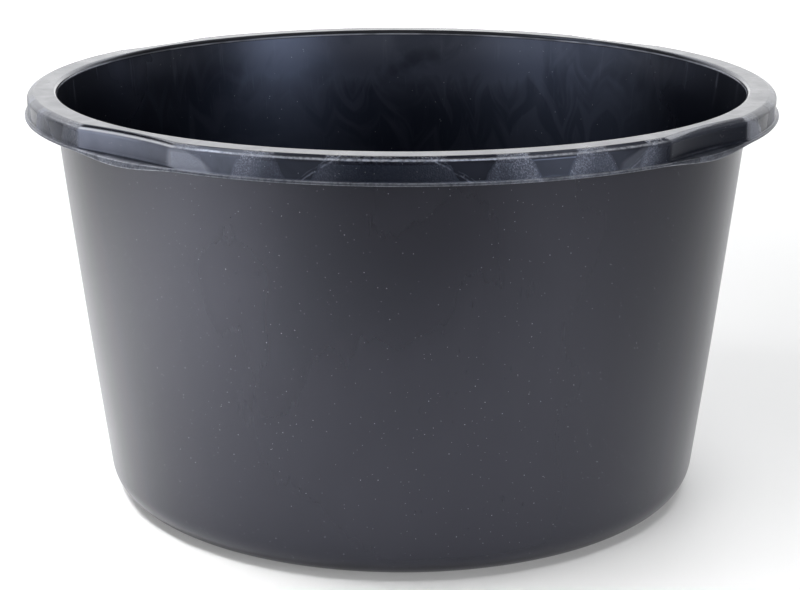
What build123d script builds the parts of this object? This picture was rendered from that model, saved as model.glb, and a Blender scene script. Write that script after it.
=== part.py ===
"""Round mortar tub, one injection moulding, cut into its named zones.

Frame: millimetres, +Z up, origin at the centre of the underside, on the
surface that the tub stands on. The four hand grips lie on +X, +Y, -X and -Y.
"""

import os
from math import hypot

from build123d import *

# ---------------------------------------------------------------- dimensions
height = 330.0  # underside of the floor to the top of the rim
lip_radius = 300.0  # over the lip, the widest place
skirt_radius = 297.6  # outer face of the skirt
base_radius = 240.0  # outer wall carried down to the base plane
rim_wall_radius = 278.3  # outer wall carried up to the rim plane
wall_thickness = 3.2  # square to the wall
floor_thickness = 3.5
corner_radius = 25.0  # outside, between floor and wall

flange_thickness = 3.0
rim_inner_fillet = 3.0
rim_outer_fillet = 4.7
skirt_thickness = 3.0
lip_top_drop = 17.0  # rim top to the upper face of the lip
lip_bottom_drop = 19.3  # rim top to the lower face of the lip

grip_count = 4
panel_distance = 290.0  # middle of the grip panel, from the tub's axis
panel_hollow = 340.0  # the panel is a shallow scoop of this radius
panel_corner_round = 16.0  # rounding from the panel's ends on to the skirt
ledge_dip = 0.8  # how far the top of the ledge dips below the lip's top
ledge_half = 48.0  # half width of the sagging ledge
ledge_end = 55.0  # its arc runs on to here, inside the lip
ledge_sag = 3.3  # how far its lower edge sags below the lip
grip_cut_half = 54.0  # half width of the zone that counts as the grip

rib_pitch = 11.25  # degrees from one gusset to the next
ribs_between = 7  # gussets between two grips
rib_thickness = 2.0
rib_depth_wall = 15.0  # rim top to the gusset's lower edge, at the wall
rib_depth_skirt = 12.0  # and at the skirt

gate_well_radius = 20.0
gate_well_depth = 1.2
gate_stub_radius = 5.0
gate_stub_height = 0.7

corner_split_radius = 216.0  # floor ends here
corner_split_height = 24.0  # straight wall starts here
flange_split_drop = 5.5  # rim top to the underside of the flange zone
channel_split_radius = 283.0  # runs inside the hollow of the rim

# ------------------------------------------------------------- derived sizes
taper = (rim_wall_radius - base_radius) / height
wall_across = wall_thickness * hypot(1.0, taper)  # thickness along the radius
inner_rim_radius = rim_wall_radius - wall_across
inner_floor_radius = base_radius + taper * floor_thickness - wall_across
inner_corner_radius = corner_radius - 0.5 * (wall_thickness + floor_thickness)
lip_top = height - lip_top_drop
lip_bottom = height - lip_bottom_drop


def sag(y):
    """Share of the ledge's sag at y off the middle of the grip."""
    return 1.0 - (y / ledge_half) ** 2


# --------------------------------------------------- plan of the rim's apron
def apron_plan(inset):
    """Plan of the rim, inset from the skirt's face: round, with a shallow scoop
    at each hand grip."""
    with BuildSketch() as plan:
        Circle(skirt_radius - inset)
        with PolarLocations(panel_distance + panel_hollow, grip_count):
            Circle(panel_hollow + inset, mode=Mode.SUBTRACT)
        fillet(
            plan.vertices().filter_by(
                lambda v: abs(hypot(v.X, v.Y) - skirt_radius + inset) < 0.01
            ),
            radius=panel_corner_round - inset,
        )
    return plan.sketch


skirt_plan = apron_plan(0.0)
channel_plan = apron_plan(skirt_thickness)  # the hollow of the rim

# -------------------------------------------------------------- floor and wall
# the space inside the tub: tapered, with a rounded bottom edge
with BuildPart() as hollow:
    with BuildSketch(Plane.XZ) as hollow_profile:
        with BuildLine():
            Polyline(
                (0, floor_thickness),
                (inner_floor_radius, floor_thickness),
                (inner_rim_radius + taper * 20.0, height + 20.0),
                (0, height + 20.0),
                close=True,
            )
        make_face()
        fillet(
            hollow_profile.vertices().filter_by(
                lambda v: abs(v.X - inner_floor_radius) < 0.01
            ),
            radius=inner_corner_radius,
        )
    revolve(axis=Axis.Z)

# floor, corner and wall as a plug, before it is hollowed
with BuildPart() as plug:
    with BuildSketch(Plane.XZ) as plug_profile:
        with BuildLine():
            Polyline(
                (0, 0),
                (base_radius, 0),
                (base_radius + taper * (height - 1.0), height - 1.0),
                (0, height - 1.0),
                close=True,
            )
        make_face()
        fillet(
            plug_profile.vertices().filter_by(
                lambda v: abs(v.X - base_radius) < 0.01
            ),
            radius=corner_radius,
        )
    revolve(axis=Axis.Z)

# ------------------------------------------------------------------- the grips
# block under one grip, seen from in front: its lower edge sags in a flat arc
with BuildPart() as ledge:
    with BuildSketch(Plane.YZ.offset(255.0)) as ledge_front:
        with BuildLine():
            ThreePointArc(
                (-ledge_end, lip_bottom - ledge_sag * sag(ledge_end)),
                (0, lip_bottom - ledge_sag),
                (ledge_end, lip_bottom - ledge_sag * sag(ledge_end)),
            )
            Line(
                (ledge_end, lip_bottom - ledge_sag * sag(ledge_end)),
                (-ledge_end, lip_bottom - ledge_sag * sag(ledge_end)),
            )
        make_face()
    extrude(amount=60.0)

# what is taken off the top of the lip at one grip, so that the ledge dips a
# little towards its middle
with BuildPart() as ledge_top:
    for y in (-46.0, -31.0, -15.5, 0.0, 15.5, 31.0, 46.0):
        with BuildSketch(Plane.XZ.offset(-y)) as top_section:
            top_z = lip_top - ledge_dip * sag(y)
            with BuildLine():
                Polyline(
                    (panel_distance - 2.0, height - 12.0),
                    (panel_distance - 2.0, top_z),
                    (lip_radius + 4.0, top_z),
                    (lip_radius + 4.0, height - 12.0),
                    close=True,
                )
            make_face()
    loft()

# the outward lip all round, with the ledges under the grips
with BuildPart() as lip:
    with Locations((0, 0, lip_bottom)):
        Cylinder(
            lip_radius + 30.0,
            lip_bottom_drop - lip_top_drop,
            align=(Align.CENTER, Align.CENTER, Align.MIN),
        )
    with PolarLocations(0, grip_count):
        add(ledge.part)
    with PolarLocations(0, grip_count):
        add(ledge_top.part, mode=Mode.SUBTRACT)
    Cylinder(
        lip_radius,
        3 * height,
        align=(Align.CENTER, Align.CENTER, Align.CENTER),
        mode=Mode.INTERSECT,
    )

# --------------------------------------------------------------------- the rim
with BuildPart() as rim:
    with BuildSketch(Plane.XY.offset(lip_bottom + 0.8)):
        add(skirt_plan)
    extrude(amount=lip_bottom_drop - 0.8)
    fillet(rim.edges().group_by(Axis.Z)[-1], radius=rim_outer_fillet)
    add(lip.part)
    with BuildSketch(Plane.XY.offset(height - 60.0)):
        add(channel_plan)
    extrude(amount=60.0 - flange_thickness, mode=Mode.SUBTRACT)

# ---------------------------------------------------------- the whole moulding
with BuildPart() as moulding:
    add(plug.part)
    add(rim.part)
    add(hollow.part, mode=Mode.SUBTRACT)
    fillet(
        moulding.edges()
        .filter_by(GeomType.CIRCLE)
        .filter_by(
            lambda e: abs(e.radius - inner_rim_radius) < 0.05
            and abs(e.arc_center.Z - height) < 0.05
        ),
        radius=rim_inner_fillet,
    )

# -------------------------------------------------- the moulding's named zones
BOTTOM = (Align.CENTER, Align.CENTER, Align.MIN)

with BuildPart() as floor:
    add(moulding.part)
    Cylinder(corner_split_radius, 40.0, align=BOTTOM, mode=Mode.INTERSECT)
    # gate well under the middle, with the stub of the sprue in it
    Cylinder(gate_well_radius, gate_well_depth, align=BOTTOM, mode=Mode.SUBTRACT)
    with Locations((0, 0, gate_well_depth - gate_stub_height)):
        Cylinder(gate_stub_radius, gate_stub_height, align=BOTTOM)

with BuildPart() as base_corner:
    add(moulding.part)
    Cylinder(base_radius + 20.0, corner_split_height, align=BOTTOM, mode=Mode.INTERSECT)
    Cylinder(
        corner_split_radius, corner_split_height, align=BOTTOM, mode=Mode.SUBTRACT
    )

with BuildPart() as wall:
    add(moulding.part)
    with Locations((0, 0, corner_split_height)):
        Cylinder(
            channel_split_radius,
            height - flange_split_drop - corner_split_height,
            align=BOTTOM,
            mode=Mode.INTERSECT,
        )

with BuildPart() as rim_flange:
    add(moulding.part)
    with Locations((0, 0, height - flange_split_drop)):
        Cylinder(lip_radius + 10.0, 20.0, align=BOTTOM, mode=Mode.INTERSECT)

# the hanging apron, with its lip and ledges, before it is shared out
with BuildPart() as apron:
    add(moulding.part)
    with Locations((0, 0, height - 40.0)):
        Cylinder(
            lip_radius + 10.0,
            40.0 - flange_split_drop,
            align=BOTTOM,
            mode=Mode.INTERSECT,
        )
        Cylinder(channel_split_radius, 40.0, align=BOTTOM, mode=Mode.SUBTRACT)

# the blocks that mark off the four grips
with BuildPart() as grip_zone:
    with PolarLocations(0, grip_count):
        with Locations((lip_radius - 20.0, 0, height - 40.0)):
            Box(60.0, 2 * grip_cut_half, 60.0, align=BOTTOM)

with BuildPart() as rim_skirt:
    add(apron.part)
    add(grip_zone.part, mode=Mode.SUBTRACT)

with BuildPart() as hand_grips:
    add(apron.part)
    add(grip_zone.part, mode=Mode.INTERSECT)

# gussets in the hollow of the rim, between wall, flange and skirt
with BuildPart() as rib:
    with BuildSketch(Plane.XZ) as rib_profile:
        with BuildLine():
            Polyline(
                (rim_wall_radius - 2.3, height - 1.5),
                (skirt_radius - 1.5, height - 1.5),
                (skirt_radius - 1.5, height - rib_depth_skirt),
                (rim_wall_radius - 2.9, height - rib_depth_wall),
                close=True,
            )
        make_face()
    extrude(amount=rib_thickness / 2, both=True)

with BuildPart() as rim_ribs:
    for quarter in range(grip_count):
        with PolarLocations(
            0,
            ribs_between,
            start_angle=90.0 * quarter + rib_pitch,
            angular_range=rib_pitch * ribs_between,
        ):
            add(rib.part)
    add(moulding.part, mode=Mode.SUBTRACT)

# ------------------------------------------------------------------ the pieces
os.makedirs("parts", exist_ok=True)

floor.part.label = "floor"
base_corner.part.label = "base_corner"
wall.part.label = "wall"
rim_flange.part.label = "rim_flange"
rim_skirt.part.label = "rim_skirt"
hand_grips.part.label = "hand_grips"
rim_ribs.part.label = "rim_ribs"

export_step(floor.part, "parts/floor.step")
export_step(base_corner.part, "parts/base_corner.step")
export_step(wall.part, "parts/wall.step")
export_step(rim_flange.part, "parts/rim_flange.step")
export_step(rim_skirt.part, "parts/rim_skirt.step")
export_step(hand_grips.part, "parts/hand_grips.step")
export_step(rim_ribs.part, "parts/rim_ribs.step")

with BuildPart() as brimful:
    add(hollow.part)
    Cylinder(lip_radius, height, align=BOTTOM, mode=Mode.INTERSECT)
print("capacity to the brim, litres:", round(brimful.part.volume * 1e-6, 2))
for piece in (floor, base_corner, wall, rim_flange, rim_skirt, hand_grips, rim_ribs):
    print(
        piece.part.label,
        len(piece.part.solids()),
        "solids",
        round(piece.part.volume * 1e-3, 2),
        "cm3",
    )
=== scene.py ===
import math

import bpy
import numpy as np
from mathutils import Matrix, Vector


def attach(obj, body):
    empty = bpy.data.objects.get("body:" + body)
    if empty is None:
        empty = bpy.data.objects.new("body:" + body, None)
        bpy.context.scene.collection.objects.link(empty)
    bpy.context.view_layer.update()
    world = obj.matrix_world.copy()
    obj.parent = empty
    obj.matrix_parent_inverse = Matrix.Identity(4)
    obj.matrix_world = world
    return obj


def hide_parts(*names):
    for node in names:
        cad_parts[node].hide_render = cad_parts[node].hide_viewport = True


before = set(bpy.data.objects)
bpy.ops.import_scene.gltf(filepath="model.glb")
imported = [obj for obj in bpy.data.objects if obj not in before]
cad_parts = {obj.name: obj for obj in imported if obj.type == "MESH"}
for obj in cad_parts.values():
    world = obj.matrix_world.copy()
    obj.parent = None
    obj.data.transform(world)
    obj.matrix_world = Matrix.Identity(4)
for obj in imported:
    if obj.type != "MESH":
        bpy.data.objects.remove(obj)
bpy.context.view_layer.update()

# ---------------------------------------------------------------------------
# Camera
# ---------------------------------------------------------------------------
VIEW_AZ = math.radians(41.6)
CAM_OUT = 1.5778
CAM_UP = 0.6042
CAM_PITCH = math.radians(15.449)
CAM_YAW = math.radians(-0.071)
CAM_ROLL = math.radians(0.073)

TO_CAM = Vector((math.sin(VIEW_AZ), -math.cos(VIEW_AZ), 0.0))
TO_RIGHT = Vector((math.cos(VIEW_AZ), math.sin(VIEW_AZ), 0.0))

cam_data = bpy.data.cameras.new("view")
cam_data.sensor_width = 36.0
cam_data.lens = 88.968
cam_data.shift_x = -0.00516
cam_data.shift_y = -0.02637
cam_data.clip_start = 0.05
cam_data.clip_end = 60.0
cam = bpy.data.objects.new("view", cam_data)
bpy.context.scene.collection.objects.link(cam)
cam.location = TO_CAM * CAM_OUT + Vector((0, 0, CAM_UP))
look = (-TO_CAM * math.cos(CAM_YAW) - TO_RIGHT * math.sin(CAM_YAW)) * math.cos(CAM_PITCH)
look = look + Vector((0, 0, -math.sin(CAM_PITCH)))
cam.rotation_mode = "QUATERNION"
turn = look.to_track_quat("-Z", "Y")
roll = Vector((0, 0, 1)).rotation_difference(Vector((0, 0, 1)))
roll.identity()
roll.w, roll.z = math.cos(CAM_ROLL / 2), math.sin(CAM_ROLL / 2)
cam.rotation_quaternion = turn @ roll
bpy.context.scene.camera = cam

# ---------------------------------------------------------------------------
# Sizes of the moulding, in millimetres
# ---------------------------------------------------------------------------
H = 330.0
LIP_R = 299.98
SKIRT_R = 297.6
BASE_R = 240.0
TAPER = 0.116061
ACROSS = 3.2215
FLOOR_T = 3.5
FLANGE_T = 3.0
SKIRT_T = 3.0
OUTER_ROUND = 4.7
OUTER_RUN = 5.6
OUTER_STOP = math.radians(40.0)
INNER_ROUND = 3.0
PANEL_X = 290.0
PANEL_HOLLOW = 340.0
PANEL_CROWN = 16.0
LIP_TOP = 17.0
LIP_LOW = 19.3
LEDGE_SAG = 3.3
LEDGE_SPAN = 11.5
CREASE_SAG = 0.8
RIB_PITCH = 11.25
ZONE_Z = 324.5
CORNER_Z = 24.0
FLOOR_SPLIT = 216.0
GRIP_END = 10.45


def outline(inset):
    """Polar radius of the rim's outer plan, moved inwards by inset, against the angle from the middle of the nearest grip."""
    r, hollow, crown = SKIRT_R - inset, PANEL_HOLLOW + inset, PANEL_CROWN - inset
    far = PANEL_X + PANEL_HOLLOW
    # centre of the rounding between the scoop and the round skirt
    cx = ((SKIRT_R - PANEL_CROWN) ** 2 - (PANEL_HOLLOW + PANEL_CROWN) ** 2 + far ** 2) / (2 * far)
    cy = math.sqrt((SKIRT_R - PANEL_CROWN) ** 2 - cx * cx)
    turn = math.atan2(cy, far - cx)
    a = np.linspace(0, turn, 80)
    pts = [np.stack([far - hollow * np.cos(a), hollow * np.sin(a)], 1)]
    a1 = math.atan2(cy, cx)
    a = np.linspace(-turn, a1, 40)
    pts.append(np.array([cx, cy]) + crown * np.stack([np.cos(a), np.sin(a)], 1))
    a = np.linspace(a1, math.radians(45.0), 20)[1:]
    pts.append(r * np.stack([np.cos(a), np.sin(a)], 1))
    pts = np.concatenate(pts)
    return np.degrees(np.arctan2(pts[:, 1], pts[:, 0])), np.hypot(pts[:, 0], pts[:, 1])


# Columns round the tub: fine where the rim turns into a grip and at each rib.
def half_columns():
    cols = list(np.linspace(0, 8.2, 13))[:-1] + list(np.linspace(8.2, 10.2, 13)) + [GRIP_END]
    for rib in (11.25, 22.5, 33.75, 45.0):
        near = [rib + d for d in (-1.05, -0.65, -0.32, 0.0, 0.32, 0.65, 1.05) if rib + d <= 45.0]
        near = [c for c in near if c > cols[-1] + 0.1]
        gap = near[0] - cols[-1]
        n = max(1, int(math.ceil(gap / 0.9)))
        cols += list(np.linspace(cols[-1], near[0], n + 1))[1:-1] + near
    return np.array(cols)


HALF = half_columns()
PHI1 = np.concatenate([-HALF[:0:-1], HALF])[:-1]
PHI = np.tile(PHI1, 4)
THETA = np.concatenate([PHI1 + 90.0 * q for q in range(4)])
COLS = len(PHI)
APHI = np.abs(PHI)
COS, SIN = np.cos(np.radians(THETA)), np.sin(np.radians(THETA))


def plan(inset):
    ang, rad = outline(inset)
    return np.interp(APHI, ang, rad)


SAG = np.where(APHI < LEDGE_SPAN, np.cos(np.radians(90.0) * APHI / LEDGE_SPAN) ** 2, 0.0)
RIB_OFF = np.abs((APHI + RIB_PITCH / 2) % RIB_PITCH - RIB_PITCH / 2)
RIB = np.where(APHI > RIB_PITCH / 2, np.exp(-(RIB_OFF / 0.5) ** 2), 0.0)


def swell(z):
    """Slight outward belly and slow unevenness of the big wall, which keep its thickness."""
    t = np.clip((z - 22.0) / (ZONE_Z - 22.0), 0.0, 1.0)
    e = math.sin(math.pi * t)
    a = np.radians(THETA)
    slow = (
        0.16 * np.sin(3 * a + 1.1 + 0.006 * z)
        + 0.12 * np.sin(5 * a - 0.7 - 0.011 * z)
        + 0.07 * np.sin(9 * a + 2.3 + 0.017 * z)
        + 0.035 * np.sin(17 * a + 0.4 - 0.021 * z)
    )
    return 0.8 * e + slow * e * e


rows, marks = [], {}


def row(r, z, mark=None):
    rows.append((np.broadcast_to(np.asarray(r, float), (COLS,)).copy(), np.broadcast_to(np.asarray(z, float), (COLS,)).copy()))
    if mark:
        marks[mark] = len(rows) - 1


def wall_out(z):
    return BASE_R + TAPER * z + swell(z)


def wall_in(z):
    return BASE_R - ACROSS + TAPER * z + swell(z)


# underside, from the middle out: gate stub, gate well, flat ring
for r, z in (
    (0, 0.5), (1.6, 0.5), (3.2, 0.5), (4.5, 0.5), (4.86, 0.6), (5.0, 0.85), (5.14, 1.1), (5.5, 1.2),
    (8, 1.2), (11, 1.2), (15, 1.2), (18.4, 1.2), (19.2, 1.12), (19.75, 0.9), (20.05, 0.6), (20.35, 0.25), (20.9, 0.06), (21.6, 0.0),
    (26, 0), (36, 0), (50, 0), (70, 0), (92, 0), (116, 0), (140, 0), (164, 0), (186, 0), (202, 0), (211, 0),
):
    row(r, z)
row(FLOOR_SPLIT, 0, "floor_out")
# rounded outer corner
for a in np.radians(np.linspace(-90, -6.62, 15)):
    row(217.734 + 25 * math.cos(a), 25 + 25 * math.sin(a))
row(wall_out(CORNER_Z), CORNER_Z, "corner_out")
for z in np.concatenate([np.linspace(CORNER_Z, 300, 30)[1:], [306, 311, 315.5, 319.5, 322.5]]):
    row(wall_out(z), z)
row(wall_out(ZONE_Z), ZONE_Z, "wall_out")
# hollow of the rim: up the wall, under the flange, down the skirt
FIL = 1.5
cr = BASE_R + TAPER * (H - FLANGE_T - FIL) + FIL
for a in np.radians(np.linspace(180, 90, 5)):
    row(cr + FIL * math.cos(a), H - FLANGE_T - FIL + FIL * math.sin(a))
inner_end = plan(SKIRT_T + FIL)
for k in (0.33, 0.67):
    row(cr * (1 - k) + inner_end * k, H - FLANGE_T)
for a in np.radians(np.linspace(90, 0, 5)):
    row(plan(SKIRT_T + FIL * (1 - math.cos(a))), H - FLANGE_T - FIL + FIL * math.sin(a))
SKIN = plan(SKIRT_T)
row(SKIN, ZONE_Z, "skirt_in")
ZB = H - LIP_LOW - LEDGE_SAG * SAG
row(SKIN, 320.5)
row(SKIN, 316.5)
row(SKIN, ZB + 2.2)
for r, z in ((0.0, 0.6), (0.17, 0.17), (0.6, 0.0)):
    row(SKIN + r, ZB + z)
EDGE = 0.95
for k in (0.33, 0.67):
    row((SKIN + 0.6) * (1 - k) + (LIP_R - EDGE) * k, ZB)
for a in np.radians((-90, -67, -45, -22, 0)):
    row(LIP_R - EDGE + EDGE * math.cos(a), ZB + EDGE + EDGE * math.sin(a), "lip_low" if a < -1.5 else None)
ZT = H - LIP_TOP - CREASE_SAG * SAG
TOPR = 0.85
for a in np.radians((0, 25, 50, 75, 90)):
    row(LIP_R - TOPR + TOPR * math.cos(a), ZT - TOPR + TOPR * math.sin(a), "ledge_top" if a > 1.5 else None)
FACE = plan(0.0)
ZC = H - LIP_TOP - CREASE_SAG * SAG
CREASE = 0.9
start_r, start_z = LIP_R - TOPR, ZT
end_r, end_z = FACE + CREASE, ZC - 0.0 * SAG
for k in (0.3, 0.65):
    row(start_r * (1 - k) + end_r * k, start_z * (1 - k) + end_z * k)
for a in np.radians((0, 30, 60, 90)):
    row(FACE + CREASE * (1 - math.sin(a)), ZC + CREASE * (1 - math.cos(a)))
for z in (315.4, 317.4, 319.6, 322.0):
    row(FACE - 0.05 * RIB * math.sin(math.pi * (z - 313) / 14), z)
row(FACE - 0.025 * RIB, ZONE_Z, "skirt_out")
# outer rounding, flat top, inner rounding
for a in np.linspace(0.0, OUTER_STOP, 11):
    t = math.sin(a) / math.sin(OUTER_STOP)
    row(plan(OUTER_RUN * (1 - math.cos(a)) / (1 - math.cos(OUTER_STOP))), H - OUTER_ROUND * (1 - t) - 0.02 * RIB * t ** 4, "round_start" if a == 0 else None)
row(plan(OUTER_RUN + 0.35), H)
top_end = plan(OUTER_RUN + 0.35)
fr = BASE_R - ACROSS + TAPER * (H - INNER_ROUND) + INNER_ROUND * math.sqrt(1 + TAPER ** 2)
for k in (0.06, 0.2, 0.38, 0.58, 0.8, 0.94):
    row(top_end * (1 - k) + fr * k, H - 0.03 * RIB * math.sin(math.pi * min(1, (1 - k) * 0.9 + 0.1)) ** 2)
for a in np.radians(np.linspace(90, 173.38, 9)):
    row(fr + INNER_ROUND * math.cos(a), H - INNER_ROUND + INNER_ROUND * math.sin(a))
for z, d in ((327.05, 0.05), (326.75, 0.13), (326.45, 0.2), (326.15, 0.13), (325.85, 0.05), (325.5, 0.0)):
    row(BASE_R - ACROSS + TAPER * z - d, z, "witness_end" if z == 325.5 else None)
row(wall_in(ZONE_Z), ZONE_Z, "inner_top")
for z in np.concatenate([[322.5, 319.5, 315.5, 311, 306], np.linspace(300, CORNER_Z, 30)[:-1]]):
    row(wall_in(z), z)
row(wall_in(CORNER_Z), CORNER_Z, "inner_corner")
for a in np.radians(np.linspace(-6.62, -90, 15)):
    row(217.9 + 21.65 * math.cos(a), 25.15 + 21.65 * math.sin(a))
row(FLOOR_SPLIT, FLOOR_T, "floor_in")
for r in (211, 202, 186, 164, 140, 116, 92, 70, 50, 36, 26, 18, 12, 7, 3.5, 0):
    row(r, FLOOR_T)

# worn edges and painted highlights: pale lines on both edges of the lip and on the outer rounding, partly where
# handling has rubbed the plastic, partly painted highlights of the rounded edges
EDGE_WEAR_AND_HIGHLIGHT = np.zeros(len(rows))
k = marks["lip_low"]
EDGE_WEAR_AND_HIGHLIGHT[k:k + 5] = (0.15, 0.7, 1.0, 0.75, 0.25)
EDGE_WEAR_AND_HIGHLIGHT[k + 5:k + 10] = (0.25, 0.8, 1.0, 0.7, 0.15)
k = marks["round_start"]
EDGE_WEAR_AND_HIGHLIGHT[k:k + 8] = (0.0, 0.0, 0.0, 0.0, 0.55, 1.0, 0.45, 0.0)
# painted shade: the fold between a grip's panel and its ledge is painted near-black
FOLD_SHADE = np.zeros(len(rows))
k = marks["ledge_top"]
FOLD_SHADE[k:k + 7] = (0.0, 0.0, 0.25, 1.0, 1.0, 1.0, 0.2)
IN_GRIP = np.clip((10.2 - APHI) / 0.8, 0.0, 1.0)
# painted highlight and wear: the pale lines are faint on the ledge of the grip at 0° and stronger on the grip at -90°,
# which also gets a pale line on top of its ledge
WEAR_AND_HIGHLIGHT = np.repeat(EDGE_WEAR_AND_HIGHLIGHT[:, None], COLS, 1)
FAINT_LEDGE_LINE = IN_GRIP * (np.cos(np.radians(THETA)) > 0.7)
STRONG_LEDGE_LINE = IN_GRIP * (np.sin(np.radians(THETA)) < -0.7)
WEAR_AND_HIGHLIGHT[k - 4:k + 1] *= 1.0 - 0.8 * FAINT_LEDGE_LINE
WEAR_AND_HIGHLIGHT[k] += 0.55 * STRONG_LEDGE_LINE
WEAR_AND_HIGHLIGHT[k + 1] += 0.45 * STRONG_LEDGE_LINE
FOLD_SHADE[k + 2] = 0.15

RR = np.array([r for r, z in rows])
ZZ = np.array([z for r, z in rows])
N = len(rows)
P = np.stack([RR * COS, RR * SIN, ZZ], 2) * 0.001
S_LEN = np.concatenate([[0], np.cumsum(np.hypot(np.diff(RR[:, COLS // 8]), np.diff(ZZ[:, COLS // 8])))])


def grid_normals(p):
    nxt = np.roll(p, -1, axis=1)
    a, b, c, d = p[:-1], nxt[:-1], nxt[1:], p[1:]
    f = np.cross(c - a, d - b)
    out = np.zeros_like(p)
    out[:-1] += f
    out[1:] += f
    f2 = np.roll(f, 1, axis=1)
    out[:-1] += f2
    out[1:] += f2
    out[0] = (0, 0, -1)
    out[-1] = (0, 0, 1)
    return out / np.maximum(np.linalg.norm(out, axis=2, keepdims=True), 1e-20)


NORMALS = grid_normals(P)

# ---------------------------------------------------------------------------
# Materials
# ---------------------------------------------------------------------------


class Nodes:
    """Short names for building a material's node tree."""

    def __init__(self, name):
        self.mat = bpy.data.materials.new(name)
        self.mat.use_nodes = True
        self.t = self.mat.node_tree
        self.t.nodes.clear()
        self.out = self.t.nodes.new("ShaderNodeOutputMaterial")
        self.bsdf = self.t.nodes.new("ShaderNodeBsdfPrincipled")
        self.t.links.new(self.bsdf.outputs[0], self.out.inputs[0])
        tc = self.t.nodes.new("ShaderNodeTexCoord")
        self.pos = tc.outputs["Object"]
        sep = self.node("ShaderNodeSeparateXYZ")
        self.link(self.pos, sep.inputs[0])
        self.x, self.y, self.z = sep.outputs

    def node(self, kind, **props):
        n = self.t.nodes.new(kind)
        for k, v in props.items():
            setattr(n, k, v)
        return n

    def link(self, a, b):
        self.t.links.new(a, b)

    def put(self, value, socket):
        if isinstance(value, bpy.types.NodeSocket):
            self.link(value, socket)
        else:
            socket.default_value = value

    def m(self, op, a, b=None, c=None, clamp=False):
        n = self.node("ShaderNodeMath", operation=op, use_clamp=clamp)
        for v, s in zip((a, b, c), n.inputs):
            if v is not None:
                self.put(v, s)
        return n.outputs[0]

    def add(self, a, b): return self.m("ADD", a, b)
    def sub(self, a, b): return self.m("SUBTRACT", a, b)
    def mul(self, a, b): return self.m("MULTIPLY", a, b)
    def div(self, a, b): return self.m("DIVIDE", a, b)

    def span(self, v, a, b, c=0.0, d=1.0, smooth=True):
        n = self.node("ShaderNodeMapRange", interpolation_type="SMOOTHSTEP" if smooth else "LINEAR", clamp=True)
        self.put(v, n.inputs["Value"])
        for k, x in (("From Min", a), ("From Max", b), ("To Min", c), ("To Max", d)):
            self.put(x, n.inputs[k])
        return n.outputs["Result"]

    def xyz(self, x, y, z):
        n = self.node("ShaderNodeCombineXYZ")
        for v, s in zip((x, y, z), n.inputs):
            self.put(v, s)
        return n.outputs[0]

    def noise(self, vec, scale, detail=2.0, rough=0.5, warp=0.0, w=None):
        n = self.node("ShaderNodeTexNoise", noise_dimensions="3D" if w is None else "4D")
        self.link(vec, n.inputs["Vector"])
        if w is not None:
            self.put(w, n.inputs["W"])
        for k, v in (("Scale", scale), ("Detail", detail), ("Roughness", rough), ("Distortion", warp)):
            self.put(v, n.inputs[k])
        return n.outputs[0]

    def cells(self, vec, scale, feature="F1", rand=1.0):
        n = self.node("ShaderNodeTexVoronoi", feature=feature)
        self.link(vec, n.inputs["Vector"])
        n.inputs["Scale"].default_value = scale
        n.inputs["Randomness"].default_value = rand
        return n

    def white(self, value):
        n = self.node("ShaderNodeTexWhiteNoise", noise_dimensions="1D")
        self.put(value, n.inputs["W"])
        return n.outputs["Value"]

    def mix(self, f, a, b):
        n = self.node("ShaderNodeMix", data_type="RGBA")
        self.put(f, n.inputs["Factor"])
        for v, s in ((a, n.inputs[6]), (b, n.inputs[7])):
            if isinstance(v, tuple):
                v = (*v, 1.0)
            self.put(v, s)
        return n.outputs[2]

    def lerp(self, f, a, b):
        n = self.node("ShaderNodeMix", data_type="FLOAT")
        self.put(f, n.inputs["Factor"])
        self.put(a, n.inputs[2])
        self.put(b, n.inputs[3])
        return n.outputs[0]

    def angle(self):
        """Angle round the tub in degrees, from -180 to 180, with the grips at multiples of 90."""
        return self.mul(self.m("ARCTAN2", self.y, self.x), 180.0 / math.pi)

    def rib_phase(self, deg):
        """Degrees from the nearest rib, with its sign."""
        k = self.div(deg, RIB_PITCH)
        return self.mul(self.sub(k, self.m("ROUND", k)), RIB_PITCH)

    def pick(self, key, table, other):
        """The value that belongs to a whole number, or other where the table has none."""
        total, rest = 0.0, 1.0
        for k, v in table.items():
            hit = self.m("COMPARE", key, float(k), 0.25)
            total = self.add(total, self.mul(hit, v))
            rest = self.sub(rest, hit)
        return self.add(total, self.mul(rest, other))

    def attr(self, name):
        n = self.node("ShaderNodeAttribute", attribute_name=name)
        return n.outputs["Fac"]

    def bump(self, height, strength, distance, below=None):
        n = self.node("ShaderNodeBump")
        n.inputs["Strength"].default_value = strength
        n.inputs["Distance"].default_value = distance
        self.link(height, n.inputs["Height"])
        if below is not None:
            self.link(below, n.inputs["Normal"])
        return n.outputs[0]

    def specks(self, scale, size, share):
        """Small pale dots, where the cells' points happen to lie in the surface."""
        v = self.cells(self.pos, scale)
        pick = self.node("ShaderNodeSeparateColor")
        self.link(v.outputs["Color"], pick.inputs[0])
        keep = self.m("LESS_THAN", pick.outputs[0], share)
        return self.mul(keep, self.span(v.outputs["Distance"], size, size * 0.55, 0.0, 1.0))

    def done(self, colour, rough, normal=None, tint=(0.86, 0.92, 1.0), level=0.5):
        self.put(colour if not isinstance(colour, tuple) else (*colour, 1.0), self.bsdf.inputs["Base Color"])
        self.put(rough, self.bsdf.inputs["Roughness"])
        if normal is not None:
            self.link(normal, self.bsdf.inputs["Normal"])
        self.bsdf.inputs["IOR"].default_value = 1.5
        self.bsdf.inputs["Specular Tint"].default_value = (*tint, 1.0)
        self.bsdf.inputs["Specular IOR Level"].default_value = level
        return self.mat


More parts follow.
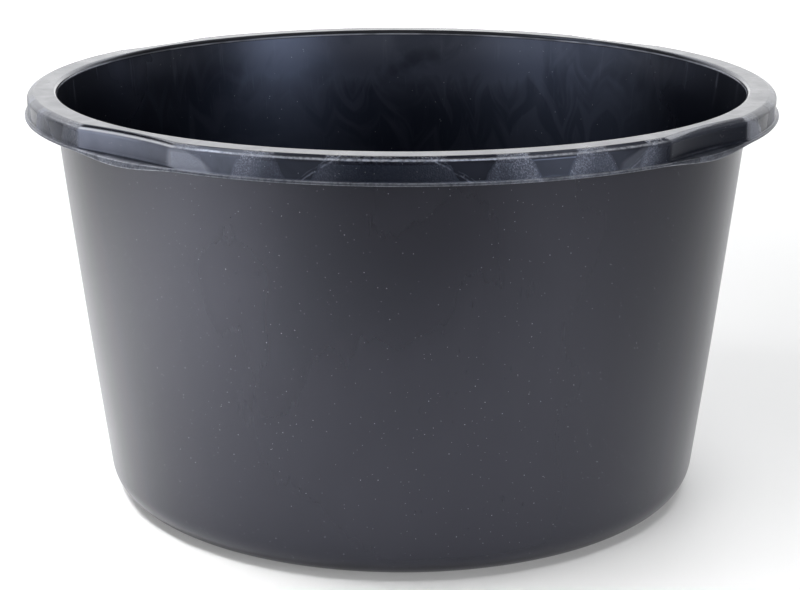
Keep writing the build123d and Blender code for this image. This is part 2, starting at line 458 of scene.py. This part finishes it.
DARK = (0.0096, 0.0097, 0.0138)
MID = (0.0152, 0.0153, 0.0208)
BLUE_DARK = (0.0036, 0.0042, 0.0075)
BLUE_MID = (0.0095, 0.0106, 0.0165)
BLUE_SOFT = (0.0440, 0.0485, 0.0680)
BLUE_PALE = (0.0900, 0.0975, 0.1240)
SPECK = (0.42, 0.44, 0.47)
# pale of worn edges, also used for painted highlights on the edges
WEAR_AND_HIGHLIGHT_PALE = (0.310, 0.320, 0.350)


def outer_plastic():
    n = Nodes("pe_outer")
    cloud = n.noise(n.pos, 7.0, 2.0, 0.5, 0.2)
    drift = n.noise(n.xyz(n.mul(n.x, 60.0), n.mul(n.y, 60.0), n.mul(n.z, 5.0)), 1.0, 2.0, 0.5, 0.0)
    streak = n.noise(n.xyz(n.mul(n.x, 240.0), n.mul(n.y, 240.0), n.mul(n.z, 9.0)), 1.0, 2.0, 0.5)
    tone = n.add(n.mul(cloud, 0.82), n.add(n.mul(drift, 0.13), n.mul(streak, 0.05)))
    colour = n.mix(n.span(tone, 0.32, 0.68), DARK, MID)
    # fine upright scratches, in groups
    hair = n.noise(n.xyz(n.mul(n.x, 620.0), n.mul(n.y, 620.0), n.mul(n.z, 22.0)), 1.0, 1.0, 0.4, 0.15)
    group = n.span(n.noise(n.pos, 9.0, 2.0, 0.5), 0.54, 0.66)
    scratch = n.mul(n.span(hair, 0.74, 0.80), group)
    scuff = n.mul(n.span(n.noise(n.xyz(n.mul(n.x, 300.0), n.mul(n.y, 300.0), n.mul(n.z, 60.0)), 1.0, 3.0, 0.6, 1.2), 0.62, 0.72), n.span(n.noise(n.pos, 6.0, 2.0, 0.5, 0.3), 0.50, 0.66))
    dots = n.m("MAXIMUM", n.specks(190.0, 0.066, 0.45), n.mul(n.specks(260.0, 0.085, 0.55), 0.55))
    colour = n.mix(n.mul(scuff, 0.06), colour, (0.026, 0.028, 0.034))
    colour = n.mix(n.mul(scratch, 0.7), colour, (0.003, 0.003, 0.004))
    colour = n.mix(n.mul(dots, 0.85), colour, SPECK)
    rough = n.add(0.250, n.mul(n.sub(tone, 0.5), 0.10))
    grain = n.noise(n.pos, 1500.0, 2.0, 0.6)
    h = n.add(n.mul(grain, 0.30), n.mul(streak, 0.03))
    return n.done(colour, rough, n.bump(h, 0.05, 0.0005), (0.81, 0.835, 1.0), 0.54)


def inner_plastic():
    n = Nodes("pe_inner")
    deg = n.angle()
    cloud = n.noise(n.pos, 9.0, 4.0, 0.55, 0.8)
    # flow marks: nested points running up and down from the rim
    sway = n.noise(n.pos, 7.0, 2.0, 0.5)
    k = n.add(n.div(deg, 8.0), n.mul(sway, 3.4))
    zig = n.mul(n.m("ABSOLUTE", n.sub(n.sub(k, n.m("FLOOR", k)), 0.5)), 2.0)
    lean = n.noise(n.pos, 5.0, 2.0, 0.5)
    q = n.add(n.mul(n.z, 36.0), n.add(n.mul(zig, n.span(lean, 0.4, 0.6, 0.3, 1.9)), n.mul(sway, 2.6)))
    band = n.noise(n.xyz(q, n.mul(deg, 0.05), n.mul(n.z, 6.0)), 1.25, 3.0, 0.5)
    flame = n.mul(n.span(band, 0.45, 0.63), n.span(n.noise(n.pos, 5.5, 2.0, 0.5), 0.36, 0.60, 0.25, 1.0))
    high = n.span(n.z, 0.11, 0.318)
    # painted shade: the two sides across the view, to the camera's left and right, are painted darker, with less of
    # the pale marks, and made smoother than the stretches between them
    turned = n.mul(n.sub(deg, 41.6), math.pi / 180.0)
    shaded_side = n.span(n.m("ABSOLUTE", n.m("COSINE", turned)), 0.72, 0.98)
    haze = n.mul(n.span(cloud, 0.42, 0.68), n.span(n.z, 0.245, 0.322))
    haze = n.add(haze, n.mul(n.span(n.z, 0.268, 0.322), n.span(cloud, 0.30, 0.60, 0.10, 0.35)))
    # drag marks under the rim where the ribs stand behind the wall
    ph = n.m("ABSOLUTE", n.rib_phase(n.add(deg, n.mul(n.sub(n.noise(n.pos, 60.0, 2.0), 0.5), 0.7))))
    run = n.noise(n.xyz(n.mul(n.x, 420.0), n.mul(n.y, 420.0), n.mul(n.z, 16.0)), 1.0, 2.0, 0.5)
    reach = n.span(n.add(n.z, n.mul(n.sub(n.noise(n.pos, 16.0, 1.0), 0.5), 0.05)), 0.290, 0.3245)
    drag = n.mul(n.mul(n.span(ph, 0.75, 0.15), n.span(run, 0.38, 0.66)), reach)
    thin = n.mul(n.span(run, 0.60, 0.78), n.span(n.z, 0.12, 0.30))
    light = n.add(n.mul(n.mul(flame, high), 0.50), n.add(n.mul(haze, 1.35), n.mul(thin, 0.3)))
    light = n.mul(light, n.sub(1.0, n.mul(shaded_side, 0.8)))
    colour = n.mix(n.m("MINIMUM", light, 1.0), BLUE_DARK, BLUE_SOFT)
    colour = n.mix(n.mul(shaded_side, 0.75), colour, (0.0008, 0.0010, 0.0022))
    # painted reflection: a paler mottled band along the top few centimetres of the inner wall, less on the two sides
    crown = n.mul(n.span(n.z, 0.294, 0.322), n.mul(n.span(cloud, 0.34, 0.62, 0.55, 1.0), n.sub(1.0, n.mul(shaded_side, 0.86))))
    colour = n.mix(n.mul(crown, 0.72), colour, BLUE_PALE)
    colour = n.mix(n.mul(drag, 0.55), colour, BLUE_PALE)
    dots = n.specks(175.0, 0.075, 0.30)
    colour = n.mix(n.mul(dots, 0.8), colour, SPECK)
    # lower part of the wall and the floor: dull from use
    dull = n.span(n.z, 0.09, 0.02)
    swirl = n.noise(n.pos, 26.0, 5.0, 0.6, 0.6)
    colour = n.mix(n.mul(n.mul(dull, n.span(swirl, 0.4, 0.7)), 0.45), colour, BLUE_MID)
    rough = n.add(0.345, n.add(n.mul(haze, -0.030), n.mul(n.mul(flame, high), -0.022)))
    rough = n.add(rough, n.add(n.mul(n.sub(cloud, 0.5), 0.05), n.mul(n.mul(dull, swirl), 0.16)))
    rough = n.sub(rough, n.mul(shaded_side, 0.16))
    rough = n.add(rough, n.span(n.z, 0.315, 0.23, 0.0, 0.11))
    grain = n.noise(n.pos, 1400.0, 2.0, 0.6)
    h = n.add(n.mul(grain, 0.3), n.add(n.mul(run, 0.25), n.mul(flame, 0.10)))
    return n.done(colour, rough, n.bump(h, 0.06, 0.0005), (0.52, 0.64, 1.0), 0.58)


def rim_plastic():
    n = Nodes("pe_rim")
    deg = n.angle()
    cloud = n.noise(n.pos, 16.0, 4.0, 0.55, 0.8)
    fine = n.noise(n.pos, 900.0, 2.0, 0.6)
    wob = n.sub(n.noise(n.pos, 85.0, 3.0, 0.6), 0.5)
    # cells of the skirt between one rib and the next
    k = n.div(deg, RIB_PITCH)
    c = n.m("FLOOR", k)
    u = n.mul(n.sub(n.sub(k, c), 0.5), RIB_PITCH)
    t = n.div(n.sub(n.z, 0.3130), 0.0115)
    chance = n.white(n.add(c, 40.5))
    chance2 = n.white(n.add(n.mul(c, 1.7), 9.2))
    # smooth patch, wider at the top
    has = n.pick(c, {-7: 1.0, -6: 1.0, -5: 0.0, -4: 1.0, -3: 1.0, -2: 1.0}, n.m("GREATER_THAN", chance, 0.3))
    half = n.add(1.75, n.mul(t, 1.1))
    off = n.sub(n.m("ABSOLUTE", u), half)
    off = n.add(off, n.mul(wob, 0.9))
    patch = n.mul(n.span(off, 0.28, -0.22), has)
    # pale scatter beside the patch
    c2 = n.m("FLOOR", n.sub(k, 0.5))
    c3 = n.add(c2, 1.0)
    u2 = n.mul(n.sub(n.sub(k, 0.5), c2), RIB_PITCH)
    chance3 = n.white(n.add(n.mul(c2, 2.3), 17.7))
    chance4 = n.white(n.add(n.mul(c3, 1.7), 9.2))
    after = n.pick(c2, {-11: 0.9, -10: 0.2, -8: 0.0, -7: 0.9, -6: 0.16, -5: 0.02, -4: 0.25, -3: 1.0, -2: 0.55}, n.add(0.3, n.mul(chance3, 0.6)))
    before = n.pick(c3, {-11: 0.6, -10: 0.0, -8: 0.0, -7: 0.1, -6: 0.12, -5: 0.02, -4: 0.06, -3: 1.0, -2: 0.30, -1: 0.0}, n.add(0.1, n.mul(chance4, 0.6)))
    gap = n.add(n.sub(u2, half), n.mul(wob, 0.9))
    gap2 = n.add(n.sub(n.sub(RIB_PITCH, u2), half), n.mul(wob, 0.9))
    after = n.mul(after, n.mul(n.span(gap, 0.0, 0.45), n.span(gap, 5.2, 0.4)))
    before = n.mul(before, n.mul(n.span(gap2, 0.0, 0.45), n.span(gap2, 6.0, 0.4)))
    haze = n.mul(n.m("MAXIMUM", after, before), n.span(cloud, 0.30, 0.62, 0.45, 1.0))
    # slanting flow lines from a top corner of the patch to the middle of its foot
    side = n.pick(c, {-7: 0.0, -6: 1.0, -5: 0.0, -4: -1.0, -3: 0.0, -2: 1.0}, n.sub(n.mul(n.m("ROUND", chance2), 2.0), 1.0))
    line = n.sub(n.mul(u, side), n.add(0.4, n.mul(t, 3.4)))
    line = n.add(line, n.mul(wob, 1.1))
    one = n.span(n.m("ABSOLUTE", line), 0.30, 0.04)
    two = n.span(n.m("ABSOLUTE", n.add(line, 0.75)), 0.20, 0.03)
    flow = n.mul(n.add(one, n.mul(two, 0.35)), n.m("ABSOLUTE", side))
    flow = n.mul(flow, n.span(n.noise(n.pos, 210.0, 2.0), 0.34, 0.60))
    # hand grips: smooth
    g = n.div(deg, 90.0)
    g = n.mul(n.m("ABSOLUTE", n.sub(g, n.m("ROUND", g))), 90.0)
    turn = n.m("ROUND", n.div(deg, 90.0))
    right = n.m("GREATER_THAN", n.sub(deg, n.mul(turn, 90.0)), 0.0)
    # one end of one grip runs out softly
    soft = n.mul(n.pick(turn, {0: 1.0}, 0.0), n.sub(1.0, right))
    gw = n.add(g, n.mul(wob, 0.9))
    grip = n.lerp(soft, n.span(gw, 10.3, 9.2), n.span(gw, 13.0, 8.4))
    r = n.m("SQRT", n.add(n.mul(n.x, n.x), n.mul(n.y, n.y)))
    top = n.span(n.z, 0.32960, 0.32990)
    outside = n.span(r, 0.2828, 0.2838)
    lipz = n.mul(outside, n.span(n.z, 0.3140, 0.3132))
    face = n.mul(n.mul(n.sub(1.0, top), outside), n.span(n.z, 0.3125, 0.3133))
    bend = n.mul(n.mul(n.span(n.z, 0.3240, 0.3262), outside), n.sub(1.0, top))
    stip = n.mul(n.mul(face, n.sub(1.0, grip)), n.sub(1.0, patch))
    flow = n.mul(n.mul(flow, face), n.sub(1.0, grip))
    stip = n.m("MAXIMUM", stip, n.mul(lipz, 0.8))
    # painted highlight: pale flare at both ends of each grip, wider at the foot
    near = n.lerp(right, n.pick(turn, {0: 13.2}, 10.6), n.pick(turn, {-1: 8.7}, 10.6))
    wide = n.lerp(right, 5.2, n.pick(turn, {-1: 7.0}, 5.2))
    flare_highlight = n.m("MAXIMUM", n.sub(near, g), n.sub(n.sub(g, near), n.sub(wide, n.mul(n.mul(t, t), 2.8))))
    flare_highlight = n.mul(n.span(n.add(flare_highlight, n.mul(wob, 1.2)), 0.5, -0.7), n.mul(face, n.span(n.z, 0.3285, 0.3240)))
    flare_highlight = n.mul(flare_highlight, n.lerp(right, n.pick(turn, {-1: 0.0, 0: 0.25}, 0.3), n.pick(turn, {-1: 1.0, 0: 0.8}, 0.5)))
    # grains of the stipple; their pale dots are painted glints of the grain facets
    v = n.cells(n.pos, 720.0)
    tint = n.node("ShaderNodeSeparateColor")
    n.link(v.outputs["Color"], tint.inputs[0])
    grain_glint = n.mul(n.span(v.outputs["Distance"], 0.52, 0.15), n.span(tint.outputs[0], 0.60, 0.90))
    worm = n.span(n.m("ABSOLUTE", n.sub(n.noise(n.pos, 500.0, 1.0, 0.4), 0.5)), 0.060, 0.014)
    grain_glint = n.m("MAXIMUM", grain_glint, n.mul(worm, 0.60))
    rare = n.specks(420.0, 0.13, 0.13)
    colour = n.mix(n.span(cloud, 0.32, 0.68), BLUE_DARK, (0.0075, 0.0083, 0.0130))
    # painted light: the grip panels are painted paler towards one end, strongly on the grip at -90°, faintly on the
    # grip at 0°
    gs = n.div(deg, 90.0)
    gs = n.mul(n.sub(gs, n.m("ROUND", gs)), 90.0)
    grip_light = n.mul(n.mul(grip, face), n.mul(n.span(gs, 9.0, -8.5, 0.36, 1.0, smooth=False), n.span(cloud, 0.30, 0.60, 0.75, 1.0)))
    grip_light = n.mul(grip_light, n.pick(turn, {-1: 1.0, 0: 0.03}, 0.35))
    shoulder = n.mul(bend, n.span(n.z, 0.3280, 0.3286))
    grip_light = n.mul(grip_light, n.sub(1.0, n.mul(shoulder, 0.95)))
    # thin pale film on some stretches of the skirt
    film = {-11: 0.28, -10: 0.16, -9: 0.1, -8: 0.50, -7: 1.0, -6: 0.22, -5: 0.0, -4: 0.10, -3: 0.36, -2: 0.26, -1: 0.0}
    veil = n.lerp(n.span(u2, 2.4, 8.8), n.pick(c2, film, n.mul(chance3, 0.4)), n.pick(c3, film, n.mul(n.white(n.add(n.mul(c3, 2.3), 17.7)), 0.4)))
    veil = n.mul(n.mul(veil, n.mul(face, n.sub(1.0, grip))), n.span(cloud, 0.30, 0.62, 0.6, 1.0))
    colour = n.mix(veil, colour, BLUE_PALE)
    colour = n.mix(grip_light, colour, (0.156, 0.168, 0.215))
    colour = n.mix(n.mul(flare_highlight, 0.88), colour, (0.190, 0.202, 0.242))
    colour = n.mix(n.mul(stip, n.mul(haze, 0.80)), colour, BLUE_PALE)
    colour = n.mix(n.mul(n.mul(stip, grain_glint), n.add(0.035, n.mul(haze, 0.85))), colour, (0.265, 0.285, 0.355))
    # painted light: the bend above the grip panels is painted paler, most on the grip at 0°, not on the grip at -90°
    colour = n.mix(n.mul(n.mul(grip, bend), n.pick(turn, {-1: 0.0, 0: 0.24}, 0.1)), colour, BLUE_PALE)
    ledge = n.mul(n.mul(lipz, grip), n.pick(turn, {-1: 0.6, 0: 0.35}, 0.8))
    colour = n.mix(n.mul(ledge, 0.10), colour, BLUE_PALE)
    colour = n.mix(n.mul(n.mul(ledge, grain_glint), 0.28), colour, (0.300, 0.322, 0.400))
    colour = n.mix(n.mul(flow, 0.6), colour, (0.150, 0.162, 0.205))
    colour = n.mix(n.mul(n.mul(rare, n.sub(1.0, top)), 0.6), colour, SPECK)
    # dark line under the rim's inner edge, and a pale line painted along the witness ridge as its highlight
    inside = n.sub(1.0, outside)
    dim = n.mul(inside, n.mul(n.span(n.z, 0.3270, 0.3275), n.span(n.z, 0.3299, 0.3295)))
    witness_highlight = n.mul(inside, n.mul(n.span(n.z, 0.3256, 0.3262), n.span(n.z, 0.3274, 0.3268)))
    witness_highlight = n.mul(witness_highlight, n.span(n.noise(n.pos, 17.0, 3.0, 0.6), 0.36, 0.60, 0.35, 1.0))
    colour = n.mix(n.mul(dim, 0.85), colour, (0.040, 0.0415, 0.047))
    colour = n.mix(n.mul(witness_highlight, 0.9), colour, (0.48, 0.50, 0.58))
    # worn edges and painted highlights: pale lines on the lip edges and the outer rounding, cut back on the grip bends
    edge = n.attr("edge")
    edge = n.mul(edge, n.sub(1.0, n.mul(n.mul(grip, bend), n.pick(turn, {-1: 0.0, 0: 0.85}, 0.4))))
    # painted highlight: the pale line on the outer rounding stays full on the side facing the camera and is cut back
    # round the sides
    faced = n.m("COSINE", n.mul(n.add(deg, 48.4), math.pi / 180.0))
    edge = n.mul(edge, n.sub(1.0, n.mul(n.mul(bend, n.sub(1.0, grip)), n.span(faced, 0.72, 0.40, 0.0, 0.80))))
    wear_highlight = n.span(n.noise(n.pos, 340.0, 3.0, 0.6), 0.30, 0.62, 0.35, 1.0)
    colour = n.mix(n.mul(n.mul(edge, wear_highlight), n.lerp(n.m("MAXIMUM", bend, grip), 0.58, 0.88)), colour, WEAR_AND_HIGHLIGHT_PALE)
    # painted highlight: a pale line on the bend above the grip panel at -90°, fainter on other grips, none at 0°
    colour = n.mix(n.mul(n.mul(edge, n.mul(grip, bend)), n.pick(turn, {-1: 0.75, 0: 0.0}, 0.2)), colour, (0.48, 0.49, 0.52))
    rough = n.add(n.lerp(stip, 0.24, 0.355), n.mul(n.sub(cloud, 0.5), 0.12))
    blotch = n.noise(n.pos, 70.0, 4.0, 0.65, 0.5)
    rough = n.lerp(top, rough, n.add(0.310, n.add(n.mul(n.sub(cloud, 0.5), 0.14), n.mul(n.sub(blotch, 0.5), 0.16))))
    rough = n.add(n.lerp(bend, rough, n.span(faced, 0.42, 0.74, 0.34, 0.09)), n.mul(edge, 0.12))
    rough = n.lerp(dim, rough, 0.20)
    rib = n.m("ABSOLUTE", n.rib_phase(deg))
    rough = n.add(rough, n.mul(n.mul(top, n.span(rib, 1.3, 0.1)), -0.02))
    # painted shade: near-black, rough colour in the fold at the foot of the grip panels and top of their ledges
    fold_shade = n.attr("fold_shade")
    colour = n.mix(n.mul(fold_shade, 0.9), colour, (0.0015, 0.0016, 0.0022))
    rough = n.lerp(fold_shade, rough, 0.75)
    # relief
    lump = n.add(n.mul(n.span(v.outputs["Distance"], 0.7, 0.1), 0.7), n.mul(fine, 0.5))
    amount = n.add(n.mul(stip, 1.0), n.add(n.mul(top, 0.12), 0.05))
    return n.done(colour, rough, n.bump(n.mul(lump, amount), 0.60, 0.00045), (0.55, 0.67, 1.0), 0.32)


M_OUT = outer_plastic()
M_IN = inner_plastic()
M_RIM = rim_plastic()

# ---------------------------------------------------------------------------
# Zones of the moulding as closed meshes that share their edges and normals
# ---------------------------------------------------------------------------
ROW_MAT = np.zeros(N - 1, int)
ROW_MAT[marks["skirt_in"]:marks["inner_top"]] = 1
ROW_MAT[marks["witness_end"]:] = 2


def zone(name, runs, cols=None):
    """A closed solid from runs of rows. Consecutive runs are joined by flat seams. cols limits it to a stretch of columns."""
    wrap = cols is None
    cols = np.arange(COLS) if wrap else np.asarray(cols)
    nc = len(cols)
    order = [i for a, b in runs for i in range(a, b + 1)]
    verts, index, wear_highlight, fold_shade = [], {}, [], []
    for i in order:
        if i in (0, N - 1):
            index[i] = [len(verts)] * nc
            verts.append(P[i, 0])
            wear_highlight.append(0.0)
            fold_shade.append(0.0)
        else:
            index[i] = list(range(len(verts), len(verts) + nc))
            verts.extend(P[i, c] for c in cols)
            # pale edge lines per point: wear and painted highlight
            wear_highlight += list(WEAR_AND_HIGHLIGHT[i, cols])
            # painted shade of the grip folds, per point
            fold_shade += list(FOLD_SHADE[i] * IN_GRIP[cols])
    faces, mats, normals, uvs = [], [], [], []
    span = nc if wrap else nc - 1
    pairs = []
    for a, b in runs:
        pairs += [(i, i + 1, True) for i in range(a, b)]
    ends = [(runs[k][1], runs[(k + 1) % len(runs)][0]) for k in range(len(runs))]
    pairs += [(i, j, False) for i, j in ends if not (i == N - 1 or j == 0)]
    # the map is laid out as strips: the way round is cut into lengths stacked over each other
    length = {}
    pos = 0.0
    strips = []
    for i, j, skin in pairs:
        w = float(np.mean(np.linalg.norm(P[i] - P[j], axis=1)))
        strips.append((pos, pos + w))
        pos += w
    total = pos
    arc = 2 * math.pi if wrap else math.radians((THETA[cols[-1]] - THETA[cols[0]]) % 360.0)
    around = float(np.mean([RR[i].mean() for i in order])) * 0.001 * arc
    parts = max(1, int(round(math.sqrt(around / total))))
    per = int(math.ceil(span / parts))
    pad = 0.004
    for (i, j, skin), (v0, v1) in zip(pairs, strips):
        for c in range(span):
            d = (c + 1) % nc
            quad = [(i, c), (i, d), (j, d), (j, c)]
            if i in (0, N - 1):
                quad = [(i, c), (j, d), (j, c)]
            elif j in (0, N - 1):
                quad = [(i, c), (i, d), (j, c)]
            faces.append([index[a][b] for a, b in quad])
            if skin:
                mats.append(int(ROW_MAT[i]))
                normals += [NORMALS[a, cols[b]] for a, b in quad]
            else:
                mats.append(0)
                e1 = P[i, cols[d]] - P[i, cols[c]]
                e2 = P[j, cols[c]] - P[i, cols[c]]
                f = np.cross(e1, e2)
                f = f / max(np.linalg.norm(f), 1e-20)
                normals += [f] * len(quad)
            k = c // per
            u0, u1 = (c - k * per) / per, (c - k * per + 1) / per
            where = {(i, c): (u0, v0), (i, d): (u1, v0), (j, d): (u1, v1), (j, c): (u0, v1)}
            for a, b in quad:
                u, v = where[(a, b)]
                uvs.append((pad + (1 - 2 * pad) * u, (k + pad + (1 - 2 * pad) * v / total) / parts))
    if not wrap:
        for c, flip in ((0, False), (nc - 1, True)):
            loop = [index[i][c] for i in order]
            t = math.radians(THETA[cols[c]])
            f = np.array([math.sin(t), -math.cos(t), 0]) if not flip else np.array([-math.sin(t), math.cos(t), 0])
            if flip:
                loop = loop[::-1]
            faces.append(loop)
            mats.append(0)
            normals += [f] * len(loop)
            uvs += [(0.001, 0.001)] * len(loop)
    return verts, faces, mats, normals, uvs, wear_highlight, fold_shade


def make(name, node, meshes, flat_map=False):
    verts, faces, mats, normals, uvs, wear_highlights, fold_shades = [], [], [], [], [], [], []
    count = len(meshes)
    for k, (v, f, m, nn, uv, wear_highlight, fold_shade) in enumerate(meshes):
        base = len(verts)
        verts += list(v)
        faces += [[i + base for i in face] for face in f]
        mats += m
        normals += nn
        wear_highlights += wear_highlight
        fold_shades += fold_shade
        uvs += [(a, (k + b) / count) for a, b in uv]
    me = bpy.data.meshes.new(name)
    me.from_pydata([tuple(v) for v in verts], [], faces)
    for mat in (M_OUT, M_RIM, M_IN):
        me.materials.append(mat)
    me.polygons.foreach_set("material_index", mats)
    me.polygons.foreach_set("use_smooth", [True] * len(faces))
    layer = me.uv_layers.new(name="OFBake")
    layer.data.foreach_set("uv", np.array(uvs, np.float32).ravel())
    # pale edge lines per point: wear and painted highlight
    me.attributes.new("edge", "FLOAT", "POINT").data.foreach_set("value", wear_highlights)
    # painted shade of the grip folds, per point
    me.attributes.new("fold_shade", "FLOAT", "POINT").data.foreach_set("value", fold_shades)
    me.update()
    me.normals_split_custom_set([tuple(x) for x in normals])
    ob = bpy.data.objects.new(name, me)
    bpy.context.scene.collection.objects.link(ob)
    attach(ob, "root")
    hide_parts(node)
    return ob


K = marks
floor_mesh = zone("floor", [(0, K["floor_out"]), (K["floor_in"], N - 1)])
corner_mesh = zone("base_corner", [(K["floor_out"], K["corner_out"]), (K["inner_corner"], K["floor_in"])])
wall_mesh = zone("wall", [(K["corner_out"], K["wall_out"]), (K["inner_top"], K["inner_corner"])])
flange_mesh = zone("rim_flange", [(K["wall_out"], K["skirt_in"]), (K["skirt_out"], K["inner_top"])])

# grip stretches and skirt stretches between the same columns
edge = int(np.argmin(np.abs(HALF - GRIP_END)))
per_quarter = len(PHI1)
middle = len(HALF) - 1
grips, skirts = [], []
for q in range(4):
    m = q * per_quarter + middle
    grips.append([(m + k) % COLS for k in range(-edge, edge + 1)])
    first = m + edge
    last = (q + 1) * per_quarter + middle - edge
    skirts.append([k % COLS for k in range(first, last + 1)])
apron = [(K["skirt_in"], K["skirt_out"])]


def stretch(cols):
    return zone("apron", apron, cols)


made = [
    make("tub_floor", "floor", [floor_mesh]),
    make("tub_base_corner", "base_corner", [corner_mesh]),
    make("tub_wall", "wall", [wall_mesh]),
    make("tub_rim_flange", "rim_flange", [flange_mesh]),
    make("tub_rim_skirt", "rim_skirt", [stretch(c) for c in skirts]),
    make("tub_hand_grips", "hand_grips", [stretch(c) for c in grips]),
]
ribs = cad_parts["rim_ribs"]
ribs.data.materials.clear()
ribs.data.materials.append(M_OUT)

# ---------------------------------------------------------------------------
# Floor, lights
# ---------------------------------------------------------------------------
bpy.context.scene.view_settings.view_transform = "Standard"
bpy.context.scene.view_settings.look = "None"

fm = Nodes("pale_floor")
fm.done((0.80, 0.80, 0.80), 0.6)
# painted light: the sheet glows faintly near and behind the tub, fading ahead of it and far to the sides, which lifts
# the tub's contact shadow
fm.bsdf.inputs["Emission Color"].default_value = (1.0, 1.0, 1.0, 1.0)
ahead = fm.add(fm.mul(fm.x, TO_CAM.x), fm.mul(fm.y, TO_CAM.y))
aside = fm.m("ABSOLUTE", fm.add(fm.mul(fm.x, TO_RIGHT.x), fm.mul(fm.y, TO_RIGHT.y)))
reach = fm.m("MAXIMUM", fm.span(aside, 1.3, 0.75), fm.span(ahead, -0.3, -1.0))
fm.put(fm.mul(fm.span(ahead, 0.78, 0.50, 0.0, 0.16), reach), fm.bsdf.inputs["Emission Strength"])
me = bpy.data.meshes.new("floor_sheet")
ring = [(9 * math.cos(a), 9 * math.sin(a), -0.0006) for a in np.linspace(0, 2 * math.pi, 97)[:-1]]
me.from_pydata(ring, [], [list(range(96))])
me.materials.append(fm.mat)
floor = bpy.data.objects.new("floor_sheet", me)
bpy.context.scene.collection.objects.link(floor)


def at(az, dist, up=0.0):
    """A place round the tub. az is measured from the camera's side, to its right."""
    a = math.radians(az)
    return (TO_CAM * math.cos(a) + TO_RIGHT * math.sin(a)) * dist + Vector((0, 0, up))


def softbox(name, az, dist, up, size, power, aim=(0, 0, 0.2), tint=(1, 1, 1), spread=180):
    data = bpy.data.lights.new(name, "AREA")
    data.shape = "RECTANGLE"
    data.size, data.size_y = size
    data.energy = power
    data.color = tint
    data.spread = math.radians(spread)
    ob = bpy.data.objects.new(name, data)
    ob.location = at(az, dist, up)
    ob.rotation_mode = "QUATERNION"
    ob.rotation_quaternion = (Vector(aim) - ob.location).to_track_quat("-Z", "Y")
    ob.visible_camera = False
    bpy.context.scene.collection.objects.link(ob)
    return ob


softbox("left_low", -88, 1.7, 0.55, (1.2, 1.1), 0.42, aim=(0, 0, 0.25), spread=80)
softbox("left_tall", -80, 2.0, 0.9, (0.7, 1.8), 1.95, aim=(0, 0, 0.25), spread=80)
softbox("left_front", -50, 2.4, 0.55, (1.5, 0.85), 2.6, aim=(0, 0, 0.25), spread=80)
softbox("front_low", 0, 2.6, 0.45, (1.6, 0.6), 0.30, aim=(0, 0, 0.25), spread=80)
softbox("right_front", 46, 2.4, 0.5, (1.1, 0.9), 3.7, aim=(0, 0, 0.25), spread=80)
softbox("right_front_high", 48, 2.4, 1.0, (1.2, 1.4), 1.2, aim=(0, 0, 0.25), spread=80)
# lamps that only light the sheet beside, around and behind the tub
softbox("down_left", -90, 0.95, 1.5, (0.5, 0.5), 5.1, aim=at(-90, 0.75), spread=80)
softbox("down_left_front", -60, 0.9, 1.5, (0.4, 0.4), 3.7, aim=at(-60, 0.8), spread=50)
softbox("down_front", 0, 0.45, 1.5, (0.25, 0.25), 0.15, aim=at(0, 0.42), spread=32)
softbox("down_left_mid", -32, 0.6, 1.5, (0.3, 0.3), 0.32, aim=at(-32, 0.55), spread=40)
softbox("down_right_mid", 28, 0.6, 1.5, (0.3, 0.3), 0.55, aim=at(28, 0.55), spread=40)
softbox("down_right", 90, 0.95, 1.5, (0.5, 0.5), 0.35, aim=at(90, 0.75), spread=80)
softbox("down_right_front", 50, 0.7, 1.5, (0.4, 0.4), 0.58, aim=at(50, 0.55), spread=50)
softbox("down_right_back", 145, 1.05, 1.6, (0.6, 0.6), 0.36, aim=at(145, 0.9), spread=80)
softbox("down_left_back", -135, 1.0, 1.6, (0.6, 0.6), 1.0, aim=at(-135, 0.85), spread=80)
softbox("down_far_left", -65, 2.6, 2.0, (2.6, 1.2), 14, aim=at(-65, 2.6), spread=80)
softbox("down_back", 180, 3.0, 2.2, (5.0, 1.4), 118, aim=at(180, 2.9), spread=130)

# studio surroundings: pale behind the tub, dim on the camera's side
world = bpy.data.worlds.new("studio")
world.use_nodes = True
wt = world.node_tree
wn = wt.nodes
bg = wn["Background"]
geo = wn.new("ShaderNodeTexCoord")


def wmath(op, a, b=None, clamp=False):
    n = wn.new("ShaderNodeMath")
    n.operation, n.use_clamp = op, clamp
    for v, k in ((a, 0), (b, 1)):
        if v is None:
            continue
        if isinstance(v, bpy.types.NodeSocket):
            wt.links.new(v, n.inputs[k])
        else:
            n.inputs[k].default_value = v
    return n.outputs[0]


def wdot(v):
    n = wn.new("ShaderNodeVectorMath")
    n.operation = "DOT_PRODUCT"
    wt.links.new(geo.outputs["Generated"], n.inputs[0])
    n.inputs[1].default_value = tuple(v)
    return n.outputs["Value"]


def wspan(v, a, b, c, d):
    n = wn.new("ShaderNodeMapRange")
    n.interpolation_type = "SMOOTHSTEP"
    wt.links.new(v, n.inputs["Value"])
    for k, x in (("From Min", a), ("From Max", b), ("To Min", c), ("To Max", d)):
        n.inputs[k].default_value = x
    return n.outputs["Result"]


behind = wspan(wdot(-TO_CAM), 0.38, 0.92, 0.0, 1.0)
low = wspan(wdot((0, 0, 1)), 0.52, 0.36, 0.0, 1.0)
level = wmath("ADD", wmath("MULTIPLY", wmath("MULTIPLY", behind, low), 2.38), 0.03)
wt.links.new(level, bg.inputs["Strength"])
bg.inputs["Color"].default_value = (1.0, 1.0, 1.0, 1)
bpy.context.scene.world = world
